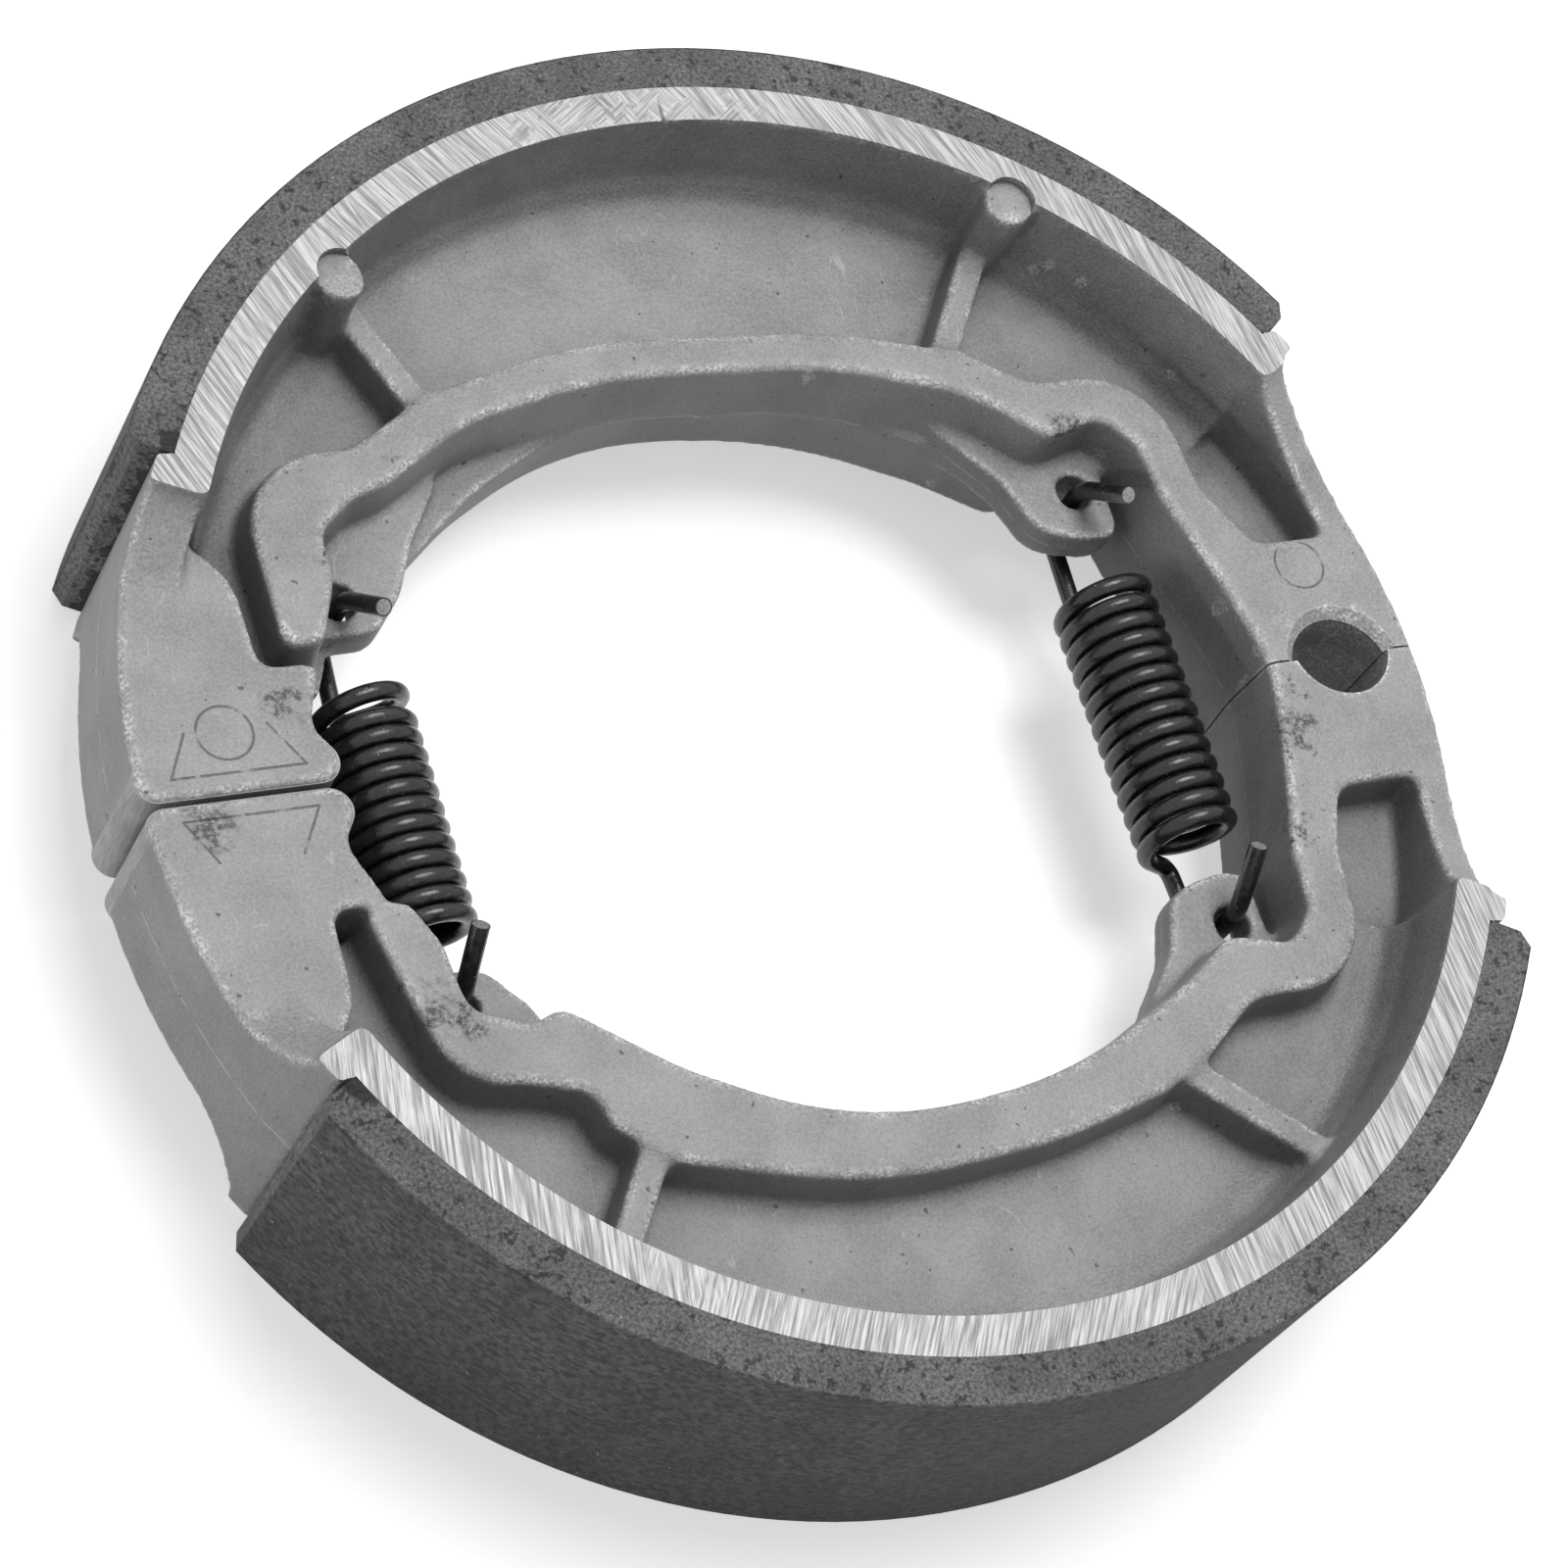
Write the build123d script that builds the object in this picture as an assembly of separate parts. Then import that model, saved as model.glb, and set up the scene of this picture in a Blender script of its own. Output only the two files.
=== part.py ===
from build123d import *
import math
import os

# A pair of drum brake shoes held together by their two return springs, lying flat.
# X runs from the cam end to the anchor end, Y from the lower shoe to the upper one,
# Z along the drum axis, with the origin on that axis at half the shoe width.

# Friction ring and the cast table that carries it
drum_radius = 65.0
lining_thickness = 4.2
table_thickness = 3.4
shoe_width = 28.0
lining_anchor_angle = 29.7
lining_cam_angle = 152.3
lining_end_gap = 0.3
lining_end_chamfer = 1.2
stop_lip_height = 1.4
stop_lip_arc = 2.3

# Casting
block_width = 15.0
web_thickness = 5.0
table_draft = 0.8
table_foot = 4.0
draft_deg = 5.0
rib_width = 2.6
rib_height = 6.9
column_diameter = 4.6
column_height = 13.3
ejector_mark_diameter = 4.9
ejector_mark_depth = 0.15
cam_gap = 0.5
anchor_gap = 0.2

# Cam end
cam_wall_setback = 2.6
cam_ramp_length = 7.0
cam_corner_radius = 2.0
wear_plate_thickness = 1.6
wear_plate_bend_radius = 0.4
wear_plate_fold_deg = 57.0
wear_plate_near_leg = 5.5
wear_plate_far_leg = 4.7
wear_plate_stand_off = 0.12

# Anchor end
anchor_wall_setback = 4.4
anchor_wall = 3.3
anchor_ramp_length = 14.0
pin_notch_radius = 5.0
pin_notch_inset = 7.7
pin_notch_setback = 1.0
pin_notch_chamfer = 0.9

# Return springs and the lugs that they hook into
wire_diameter = 1.7
wire_gap = 0.04
coil_outer_diameter = 9.8
coil_clearance = 0.3
hook_bend_radius = 2.0
lug_thickness = 4.0
lug_hole_diameter = 3.5
lug_hole_clearance = 0.35
cam_spring_offset = -0.5
cam_coil_turns = 12
anchor_spring_offset = -0.2
anchor_coil_turns = 13
hook_lead_deg = 30
hook_lead_bend = 1.2
hook_crest = 3.2
hook_rise = 8.6
hook_lean = 3.8
hook_side_lean = 1.0
coil_facets = 12
bend_facets = 4
wire_facets = 6

half_width = shoe_width / 2
half_block = block_width / 2
half_web = web_thickness / 2
table_outer = drum_radius - lining_thickness
table_inner = table_outer - table_thickness
cam_outer_radius = drum_radius - cam_wall_setback
anchor_outer_radius = drum_radius - anchor_wall_setback
anchor_inner_radius = anchor_outer_radius - anchor_wall
pin_notch_x = anchor_outer_radius - pin_notch_inset
lip_radius = table_outer + stop_lip_height
lip_gap_deg = math.degrees(lining_end_gap / table_outer)
table_anchor_angle = lining_anchor_angle - lip_gap_deg - stop_lip_arc
table_cam_angle = lining_cam_angle + lip_gap_deg + stop_lip_arc
cam_face_y = cam_gap / 2
anchor_face_y = anchor_gap / 2
coil_radius = (coil_outer_diameter - wire_diameter) / 2
coil_pitch = wire_diameter + wire_gap

# Outlines are corners (x, y, corner radius) counted from the split line between the
# shoes. They and the places below are drawn for this drum, and move out with a larger one.
drawn_drum_radius = 65.0

# Raised on the ejector side: anchor block, inner bead and cam finger
ejector_side_bead = [
    (45.1, -4.0, 0), (59.0, -4.0, 0), (58.6, 12.3, 0), (48.4, 12.3, 2.0),
    (44.9, 18.5, 5.0), (43.9, 31.4, 8.0), (31.5, 31.0, 5.0), (25.8, 34.9, 3.0),
    (13.0, 38.3, 40.0), (-11.0, 39.4, 45.0), (-27.0, 35.6, 4.0), (-32.3, 32.6, 3.0),
    (-35.5, 30.9, 3.0), (-46.4, 31.0, 8.0), (-46.4, 12.9, 1.2), (-42.9, 12.9, 1.5),
    (-40.4, 18.5, 4.0), (-40.2, 23.3, 2.0), (-36.5, 26.2, 2.0), (-33.0, 27.2, 2.0),
    (-24.0, 32.4, 15.0), (-10.0, 35.5, 50.0), (12.0, 34.6, 45.0), (25.5, 30.4, 20.0),
    (31.3, 25.2, 2.5), (37.3, 26.8, 2.2), (40.1, 23.8, 2.0), (40.5, 18.5, 6.0),
    (43.6, 8.0, 20.0), (45.1, 1.0, 10.0),
]

# The same on the cover side
cover_side_bead = [
    (45.1, -4.0, 0), (59.0, -4.0, 0), (58.6, 12.6, 0), (47.6, 12.6, 2.5),
    (45.2, 18.5, 5.0), (43.9, 31.4, 8.0), (31.5, 31.2, 5.0), (25.6, 35.6, 2.5),
    (20.0, 38.4, 4.0), (9.0, 41.0, 40.0), (-9.0, 42.3, 45.0), (-26.0, 37.4, 3.0),
    (-30.8, 33.4, 2.0), (-31.4, 30.2, 2.5), (-36.0, 28.8, 6.0), (-42.6, 27.6, 6.0),
    (-44.8, 19.5, 12.0), (-46.4, 11.3, 1.2), (-42.4, 11.2, 1.5), (-40.4, 15.5, 4.0),
    (-39.9, 21.6, 2.5), (-34.8, 23.6, 2.0), (-32.0, 22.4, 2.0), (-23.0, 29.4, 25.0),
    (-9.0, 37.0, 35.0), (12.0, 35.4, 45.0), (25.0, 29.2, 20.0), (31.3, 25.2, 2.5),
    (37.3, 26.8, 2.2), (40.1, 23.8, 2.0), (40.5, 18.5, 6.0), (43.6, 8.0, 20.0),
    (45.1, 1.0, 10.0),
]

# Cam block, the same on both sides
cam_block_outline = [
    (-60.0, -4.0, 0), (-40.4, -4.0, 0), (-46.1, 5.5, 2.5), (-43.8, 11.2, 0.8),
    (-49.0, 11.2, 1.5), (-49.2, 20.0, 6.0), (-54.0, 25.0, 0), (-58.0, 20.0, 0),
]

# Middle plate: the web between table and bead, and the two lugs for the springs
web_outline = [
    (60.0, 11.5, 0), (60.0, 60.0, 0), (-60.0, 60.0, 0), (-60.0, 12.2, 0),
    (-44.5, 12.2, 0), (-43.0, 24.0, 3.0), (-33.0, 29.0, 3.0), (-10.0, 37.6, 30.0),
    (12.0, 36.4, 30.0), (32.0, 28.6, 2.0), (41.5, 27.5, 2.0), (42.5, 19.0, 2.0),
    (47.0, 11.5, 0),
]
anchor_lug_outline = [
    (19.0, 34.5, 0), (24.3, 28.7, 3.0), (28.3, 23.8, 3.0), (30.2, 18.4, 4.0),
    (34.6, 17.2, 3.0), (38.7, 17.2, 1.8), (38.7, 25.6, 3.0), (33.5, 27.5, 1.0),
    (31.5, 30.5, 0),
]
cam_lug_outline = [
    (-26.0, 34.5, 0), (-44.0, 27.0, 0), (-43.0, 15.7, 0.8), (-35.6, 15.8, 3.0),
    (-32.2, 19.6, 4.0), (-30.0, 24.2, 8.0), (-26.2, 29.4, 3.0),
]

ejector_side_ribs = [((-32.6, 46.4), (-27.6, 34.6)), ((32.4, 47.6), (23.6, 34.2))]
cover_side_ribs = [((-34.4, 46.3), (-27.2, 35.5)), ((35.6, 48.2), (23.0, 36.6))]
column_places = [(-34.3, 44.4), (32.2, 46.6)]
ejector_mark_places = [(-53.8, 5.6), (52.0, 9.5)]
cam_lug_hole = (-38.4, 19.2)
anchor_lug_hole = (35.4, 22.2)

# Lug hole, side step of the coil's axis from it, and turns
spring_seats = {
    "cam_side_spring": (cam_lug_hole, cam_spring_offset, cam_coil_turns),
    "anchor_side_spring": (anchor_lug_hole, anchor_spring_offset, anchor_coil_turns),
}


def outward(x, y):
    """A drawn place, moved along its radius as far as the drum differs from the drawn one."""
    stretch = 1 + (drum_radius - drawn_drum_radius) / math.hypot(x, y)
    return (x * stretch, y * stretch)


def polar(radius, angle):
    a = math.radians(angle)
    return (radius * math.cos(a), radius * math.sin(a))


def outline(corners):
    """A closed face from corners that each have their own radius."""
    points = [outward(x, y) for x, y, radius in corners]
    return make_face(FilletPolyline(*points, radius=[c[2] for c in corners], close=True))


def ring_face(inner, outer, start, end):
    """A flat ring sector between two angles in degrees."""
    near, far = polar(outer, start), polar(outer, end)
    back, front = polar(inner, end), polar(inner, start)
    edges = [
        ThreePointArc(near, polar(outer, (start + end) / 2), far), Line(far, back),
        ThreePointArc(back, polar(inner, (start + end) / 2), front), Line(front, near),
    ]
    return make_face(edges)


def raised(face, top, draft=draft_deg):
    """A drafted cast form that stands on the middle plane."""
    return extrude(Pos(0, 0, top) * face, amount=top, dir=(0, 0, -1), taper=-draft)


def flipped(body):
    """The same form on the cover side."""
    return mirror(body, about=Plane.XY)


def plate(face, thickness):
    return extrude(Pos(0, 0, -thickness / 2) * face, amount=thickness)


def table_and_foot():
    """The curved table with its drafted inner wall and the hollow foot of the web."""
    waist = table_inner - table_draft
    toe = waist - table_foot
    hollow = table_foot * (1 - math.sqrt(0.5))
    upper = [(toe, half_web), (waist - hollow, half_web + hollow), (waist, half_web + table_foot),
             (table_inner, half_width), (table_outer, half_width)]
    lower = [(x, -z) for x, z in reversed(upper)]
    profile = make_face(Polyline(*upper, *lower, close=True))
    start = Plane.XZ.rotated((0, 0, table_anchor_angle))
    return revolve(start * profile, Axis.Z, table_cam_angle - table_anchor_angle)


def ramped_wall(inner, outer, angle, turn, length):
    """The end of the table coming down to block height over a hollow slope."""
    drop = half_width - half_block
    slope = make_face([
        Polyline((length, half_block), (length, 0), (-1, 0), (-1, half_width), (0, half_width)),
        ThreePointArc((0, half_width), (length * 0.36, half_block + drop * 0.42),
                      (length, half_block)),
    ])
    side = Plane(origin=(*polar(inner, angle), 0), x_dir=(*polar(1, angle + 90 * turn), 0),
                 z_dir=(*polar(turn, angle), 0))
    wedge = extrude(side * slope, amount=2 * (outer - inner), both=True)
    reach = math.degrees(length / inner) + 3
    low, high = sorted((angle, angle + reach * turn))
    return wedge & extrude(ring_face(inner, outer, low, high), amount=half_width)


def stop_lip(start):
    return extrude(Pos(0, 0, -half_width) * ring_face(table_inner, lip_radius, start,
                                                      start + stop_lip_arc), amount=shoe_width)


def rib(ends):
    (x1, y1), (x2, y2) = [outward(*end) for end in ends]
    turn = math.degrees(math.atan2(y2 - y1, x2 - x1))
    place = Pos((x1 + x2) / 2, (y1 + y2) / 2) * Rot(0, 0, turn)
    face = place * Rectangle(math.hypot(x2 - x1, y2 - y1), rib_width)
    return raised(face, rib_height)


def half_plane(face_y):
    """Everything of the shoe that is past its split face."""
    return Pos(0, face_y + drum_radius / 2) * Rectangle(2.2 * drum_radius, drum_radius)


def wear_plate():
    """The folded steel plate that is cast into the cam face."""
    half = wear_plate_thickness / 2
    y = cam_face_y + half
    fold = math.radians(wear_plate_fold_deg)
    corner = half / math.tan(fold / 2)
    bend = wear_plate_bend_radius + half
    # the near bend's outer skin is flush with the block, the far one stands out a little
    reach = bend * math.tan((math.pi - fold) / 2) - bend - half
    near_x = cam_block_side_x() + reach
    far_x = -cam_outer_radius - wear_plate_stand_off - reach
    near_tip = (near_x - (wear_plate_near_leg + corner) * math.cos(fold),
                y + (wear_plate_near_leg + corner) * math.sin(fold))
    far_tip = (far_x + (wear_plate_far_leg + corner) * math.cos(fold),
               y + (wear_plate_far_leg + corner) * math.sin(fold))
    path = FilletPolyline(far_tip, (far_x, y), (near_x, y), near_tip, radius=bend)
    return plate(trace(path, wear_plate_thickness), block_width)


def cam_block_side_x():
    """Where the rounded inner corner of the cam block reaches out furthest."""
    (x1, y1), (x2, y2) = [outward(*corner[:2]) for corner in cam_block_outline[1:3]]
    x = x1 + (x2 - x1) * (cam_face_y - y1) / (y2 - y1)
    lean = math.atan2(y2 - y1, x1 - x2)
    return x - cam_corner_radius * math.tan((math.pi - lean) / 2) + cam_corner_radius


def block_and_bead(corners):
    """Anchor block, its curved outer wall and the bead, from the middle plane up."""
    face = outline(corners) + ring_face(anchor_inner_radius, anchor_outer_radius, -4, 27)
    shoe_side = extrude(half_plane(anchor_face_y), amount=half_width)
    return raised(face, half_block) & Cylinder(anchor_outer_radius, shoe_width) & shoe_side


def cam_block():
    face = outline(cam_block_outline)
    face += ring_face(table_inner, cam_outer_radius, table_cam_angle, 184)
    face &= half_plane(cam_face_y)
    face = fillet(face.vertices().group_by(Axis.Y)[0], cam_corner_radius)
    return raised(face, half_block, draft=0)


def pin_notch():
    """Half-round notch for the anchor pin, with a wider chamfer on the ejector side."""
    top = pin_notch_chamfer + 1
    cone = Cone(pin_notch_radius, pin_notch_radius + top, top)
    place = Pos(pin_notch_x, -pin_notch_setback)
    return place * Cylinder(pin_notch_radius, shoe_width) + place * Pos(
        0, 0, half_block - pin_notch_chamfer + top / 2) * cone


def coil_hollow(lug_hole, offset, turns):
    """Room for the coil between the blocks."""
    length = turns * coil_pitch + wire_diameter + 2 * coil_clearance
    radius = coil_outer_diameter / 2 + coil_clearance
    return Pos(outward(*lug_hole)[0] + offset, 0) * Rot(90, 0, 0) * Cylinder(radius, length)


def shoe_casting():
    """The upper shoe, one aluminium die casting with its ejector side up."""
    body = table_and_foot() + plate(outline(web_outline) & Circle(table_inner + 1), web_thickness)
    body += block_and_bead(ejector_side_bead)
    body += flipped(block_and_bead(cover_side_bead))
    block = cam_block()
    body += block + flipped(block)
    anchor_ramp = ramped_wall(anchor_inner_radius, anchor_outer_radius, table_anchor_angle, -1,
                              anchor_ramp_length)
    cam_ramp = ramped_wall(table_inner, cam_outer_radius, table_cam_angle, 1, cam_ramp_length)
    body += anchor_ramp + flipped(anchor_ramp) + cam_ramp + flipped(cam_ramp)
    body += stop_lip(table_anchor_angle) + stop_lip(table_cam_angle - stop_lip_arc)
    for corners in (anchor_lug_outline, cam_lug_outline):
        body += plate(outline(corners), lug_thickness)
    for ends in ejector_side_ribs:
        body += rib(ends)
    for ends in cover_side_ribs:
        body += flipped(rib(ends))
    for place in column_places:
        column = Cylinder(column_diameter / 2, column_height)
        body += Pos(*outward(*place), column_height / 2) * column
    body -= pin_notch()
    body -= wear_plate()
    for lug_hole, *coil in spring_seats.values():
        body -= coil_hollow(lug_hole, *coil)
        body -= Pos(*outward(*lug_hole)) * Cylinder(lug_hole_diameter / 2, web_thickness)
    for place in ejector_mark_places:
        mark = Cylinder(ejector_mark_diameter / 2, 2 * ejector_mark_depth)
        body -= Pos(*outward(*place), half_block) * mark
    return body


def lining():
    """The friction lining, with its outer edges broken at both ends."""
    block = extrude(Pos(0, 0, -half_width) * ring_face(table_outer, drum_radius,
                    lining_anchor_angle, lining_cam_angle), amount=shoe_width)
    corners = [e for e in block.edges().filter_by(Axis.Z)
               if math.hypot(e.center().X, e.center().Y) > drum_radius - 0.01]
    return chamfer(corners, lining_end_chamfer)


def return_spring(lug_hole, offset, turns):
    """A close-wound spring along Y whose two ends hook up through the lugs."""
    lug_x, lug_y = outward(*lug_hole)
    x = lug_x + offset
    lead = math.radians(hook_lead_deg)
    wound = turns - 2 * hook_lead_deg / 360
    height = wound * coil_pitch
    turned = Rot(-90, 0, 0) * Pos(0, 0, -height / 2) * Rot(0, 0, 90 + hook_lead_deg)
    coil = Pos(x, 0, 0) * turned * Helix(coil_pitch, height, coil_radius)
    # the wire leaves the coil beside its lowest point and runs under the lug
    depth = coil_radius / math.cos(lead)
    pull = lug_hole_diameter / 2 - wire_diameter / 2 - lug_hole_clearance
    hooks = []
    for side, end in ((-1, 0), (1, 1)):
        start = coil.position_at(end)
        leave = coil.tangent_at(end) * side
        eye_y = side * (lug_y - pull)
        hooks.append(FilletPolyline(
            start, start + leave * ((x - start.X) / leave.X), (lug_x, eye_y, -depth),
            (lug_x, eye_y, hook_crest),
            (lug_x + hook_side_lean, eye_y - side * hook_lean, hook_rise),
            radius=[hook_lead_bend, hook_bend_radius, 2 * hook_bend_radius]))
    lower, upper = [bend_points(hook) for hook in hooks]
    steps = math.ceil(wound * coil_facets)
    turns = [coil.position_at(i / steps) for i in range(1, steps)]
    return wire_along(lower[::-1] + turns + upper)


def bend_points(path):
    """The ends of the path's straight runs, with each bend divided into short ones."""
    points = [path.position_at(0)]
    for edge in path.edges():
        runs = 1 if edge.geom_type == GeomType.LINE else bend_facets
        points += [edge.position_at(i / runs) for i in range(1, runs + 1)]
    return points


def wire_along(points):
    """Wire through the points, as straight facets that meet at mitres."""
    path = Polyline(*points)
    section = RegularPolygon(wire_diameter / 2, wire_facets)
    start = Plane(origin=path.position_at(0), z_dir=path.tangent_at(0))
    return sweep(start * section, path=path, transition=Transition.RIGHT)


half_set = {
    "shoe": shoe_casting(),
    "lining": lining(),
    "cam_plate": wear_plate(),
}
nodes = {}
for name, body in half_set.items():
    nodes["upper_" + name] = body
    nodes["lower_" + name] = Rot(180, 0, 0) * body
for name, seat in spring_seats.items():
    nodes[name] = return_spring(*seat)

os.makedirs("parts", exist_ok=True)
for name, body in nodes.items():
    export_step(body, f"parts/{name}.step")
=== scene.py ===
import math

import bmesh
import bpy
from mathutils import Matrix, Vector


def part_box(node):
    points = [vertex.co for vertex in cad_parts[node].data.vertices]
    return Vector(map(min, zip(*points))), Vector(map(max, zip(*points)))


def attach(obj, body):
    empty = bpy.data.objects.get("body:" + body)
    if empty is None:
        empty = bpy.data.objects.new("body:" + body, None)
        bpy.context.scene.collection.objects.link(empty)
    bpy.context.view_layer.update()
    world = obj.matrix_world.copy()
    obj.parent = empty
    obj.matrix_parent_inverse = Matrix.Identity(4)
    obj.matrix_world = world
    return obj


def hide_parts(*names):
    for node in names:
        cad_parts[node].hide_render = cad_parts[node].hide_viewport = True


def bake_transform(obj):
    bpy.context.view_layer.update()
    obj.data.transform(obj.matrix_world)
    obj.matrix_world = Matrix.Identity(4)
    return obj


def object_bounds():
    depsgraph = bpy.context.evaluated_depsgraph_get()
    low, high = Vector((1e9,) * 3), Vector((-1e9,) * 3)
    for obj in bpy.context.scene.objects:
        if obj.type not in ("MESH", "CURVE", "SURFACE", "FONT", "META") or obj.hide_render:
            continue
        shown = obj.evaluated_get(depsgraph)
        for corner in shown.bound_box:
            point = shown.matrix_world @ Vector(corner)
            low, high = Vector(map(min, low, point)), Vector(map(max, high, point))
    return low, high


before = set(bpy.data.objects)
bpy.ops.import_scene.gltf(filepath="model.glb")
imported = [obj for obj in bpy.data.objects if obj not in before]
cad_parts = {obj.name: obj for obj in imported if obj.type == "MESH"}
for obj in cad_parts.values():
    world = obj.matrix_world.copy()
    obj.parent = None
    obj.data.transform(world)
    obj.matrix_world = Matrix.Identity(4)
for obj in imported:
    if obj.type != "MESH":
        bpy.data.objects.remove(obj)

cadLow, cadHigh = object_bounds()
mm = 0.001
scene = bpy.context.scene

# Small helpers for meshes and node trees

def addObject(name, mesh, materials=()):
    obj = bpy.data.objects.new(name, mesh)
    scene.collection.objects.link(obj)
    for material in materials:
        mesh.materials.append(material)
    return obj


def asPlainMesh(obj):
    graph = bpy.context.evaluated_depsgraph_get()
    mesh = bpy.data.meshes.new_from_object(obj.evaluated_get(graph), depsgraph=graph)
    obj.modifiers.clear()
    return mesh


class Shader:
    def __init__(self, name):
        self.material = bpy.data.materials.new(name)
        self.material.use_nodes = True
        self.tree = self.material.node_tree
        self.body = self.tree.nodes["Principled BSDF"]
        coords = self.tree.nodes.new("ShaderNodeTexCoord")
        self.place = coords.outputs["Object"]

    def join(self, source, socket):
        if isinstance(source, (int, float, tuple)):
            socket.default_value = source
        else:
            self.tree.links.new(source, socket)

    def math(self, operation, *sources, clamp=False):
        node = self.tree.nodes.new("ShaderNodeMath")
        node.operation = operation
        node.use_clamp = clamp
        for source, socket in zip(sources, node.inputs):
            self.join(source, socket)
        return node.outputs[0]

    def vector(self, operation, *sources):
        node = self.tree.nodes.new("ShaderNodeVectorMath")
        node.operation = operation
        for source, socket in zip(sources, node.inputs):
            self.join(source, socket)
        return node.outputs["Value" if operation in ("LENGTH", "DISTANCE") else "Vector"]

    def noise(self, sizeMm, where=None, detail=3.0, roughness=0.55):
        node = self.tree.nodes.new("ShaderNodeTexNoise")
        node.inputs["Scale"].default_value = 1 / (sizeMm * mm)
        node.inputs["Detail"].default_value = detail
        node.inputs["Roughness"].default_value = roughness
        self.join(where or self.place, node.inputs["Vector"])
        return node.outputs["Fac"]

    def ramp(self, source, low, high, outLow=0.0, outHigh=1.0):
        node = self.tree.nodes.new("ShaderNodeMapRange")
        node.interpolation_type = "SMOOTHSTEP"
        for value, key in ((source, "Value"), (low, "From Min"), (high, "From Max"),
                           (outLow, "To Min"), (outHigh, "To Max")):
            self.join(value, node.inputs[key])
        return node.outputs[0]

    def blend(self, mask, first, second):
        node = self.tree.nodes.new("ShaderNodeMix")
        node.data_type = "FLOAT"
        for value, socket in ((mask, node.inputs[0]), (first, node.inputs[2]),
                              (second, node.inputs[3])):
            self.join(value, socket)
        return node.outputs[0]

    def grey(self, source):
        node = self.tree.nodes.new("ShaderNodeCombineColor")
        for socket in node.inputs[:3]:
            self.join(source, socket)
        return node.outputs[0]

    def bump(self, height, depthMm, strength=1.0):
        node = self.tree.nodes.new("ShaderNodeBump")
        node.inputs["Distance"].default_value = depthMm * mm
        node.inputs["Strength"].default_value = strength
        self.join(height, node.inputs["Height"])
        self.join(node.outputs[0], self.body.inputs["Normal"])

    def parts(self):
        node = self.tree.nodes.new("ShaderNodeSeparateXYZ")
        self.join(self.place, node.inputs[0])
        return node.outputs

    def stack(self, x, y, z):
        node = self.tree.nodes.new("ShaderNodeCombineXYZ")
        for source, socket in zip((x, y, z), node.inputs):
            self.join(source, socket)
        return node.outputs[0]

    def polar(self):
        x, y, z = self.parts()
        radius = self.math("SQRT", self.math("ADD", self.math("MULTIPLY", x, x),
                                             self.math("MULTIPLY", y, y)))
        return radius, self.math("ARCTAN2", y, x), z

    def finish(self, shade, rough, metallic=0.0):
        self.join(self.grey(shade), self.body.inputs["Base Color"])
        self.join(rough, self.body.inputs["Roughness"])
        self.body.inputs["Metallic"].default_value = metallic
        return self.material


# Camera, at the photograph's viewing angle

cameraValues = {
    "pixelsPerMm": 11.6669,      # at the drum axis
    "distanceMm": 430.117,
    "azimuth": 50.793,
    "elevation": 54.956,
    "roll": -37.679,
    "originAt": (813.269, 774.112),   # where the part's origin falls in the photograph
    "imageSize": 1600,
    "sensorMm": 36,
    "seesFromTo": (0.01, 10),    # in m
}


def aimCamera(v):
    focal = v["pixelsPerMm"] * v["distanceMm"]
    az, el, roll = (math.radians(v[key]) for key in ("azimuth", "elevation", "roll"))
    back = Vector((-math.sin(az) * math.cos(el), -math.cos(az) * math.cos(el), math.sin(el)))
    forward = -back
    level = forward.cross(Vector((0, 0, 1))).normalized()
    drop = forward.cross(level)
    right = math.cos(roll) * level + math.sin(roll) * drop
    down = -math.sin(roll) * level + math.cos(roll) * drop
    offX, offY = ((p - v["imageSize"] / 2) / focal for p in v["originAt"])
    pan, tilt = math.atan(offX), math.atan(offY * math.cos(math.atan(offX)))
    turnY = Matrix(((math.cos(pan), 0, math.sin(pan)), (0, 1, 0),
                    (-math.sin(pan), 0, math.cos(pan))))
    turnX = Matrix(((1, 0, 0), (0, math.cos(tilt), math.sin(tilt)),
                    (0, -math.sin(tilt), math.cos(tilt))))
    rows = turnY @ turnX @ Matrix((right, down, forward))
    data = bpy.data.cameras.new("photoCamera")
    data.sensor_width = v["sensorMm"]
    data.lens = focal * data.sensor_width / v["imageSize"]
    data.clip_start, data.clip_end = v["seesFromTo"]
    camera = bpy.data.objects.new("photoCamera", data)
    camera.matrix_world = Matrix.Translation(back * v["distanceMm"] * mm) @ Matrix(
        (rows[0], -rows[1], -rows[2])).transposed().to_4x4()
    scene.collection.objects.link(camera)
    scene.camera = camera


aimCamera(cameraValues)
print("camera placed")


# Cast aluminium of the two shoes

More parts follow.
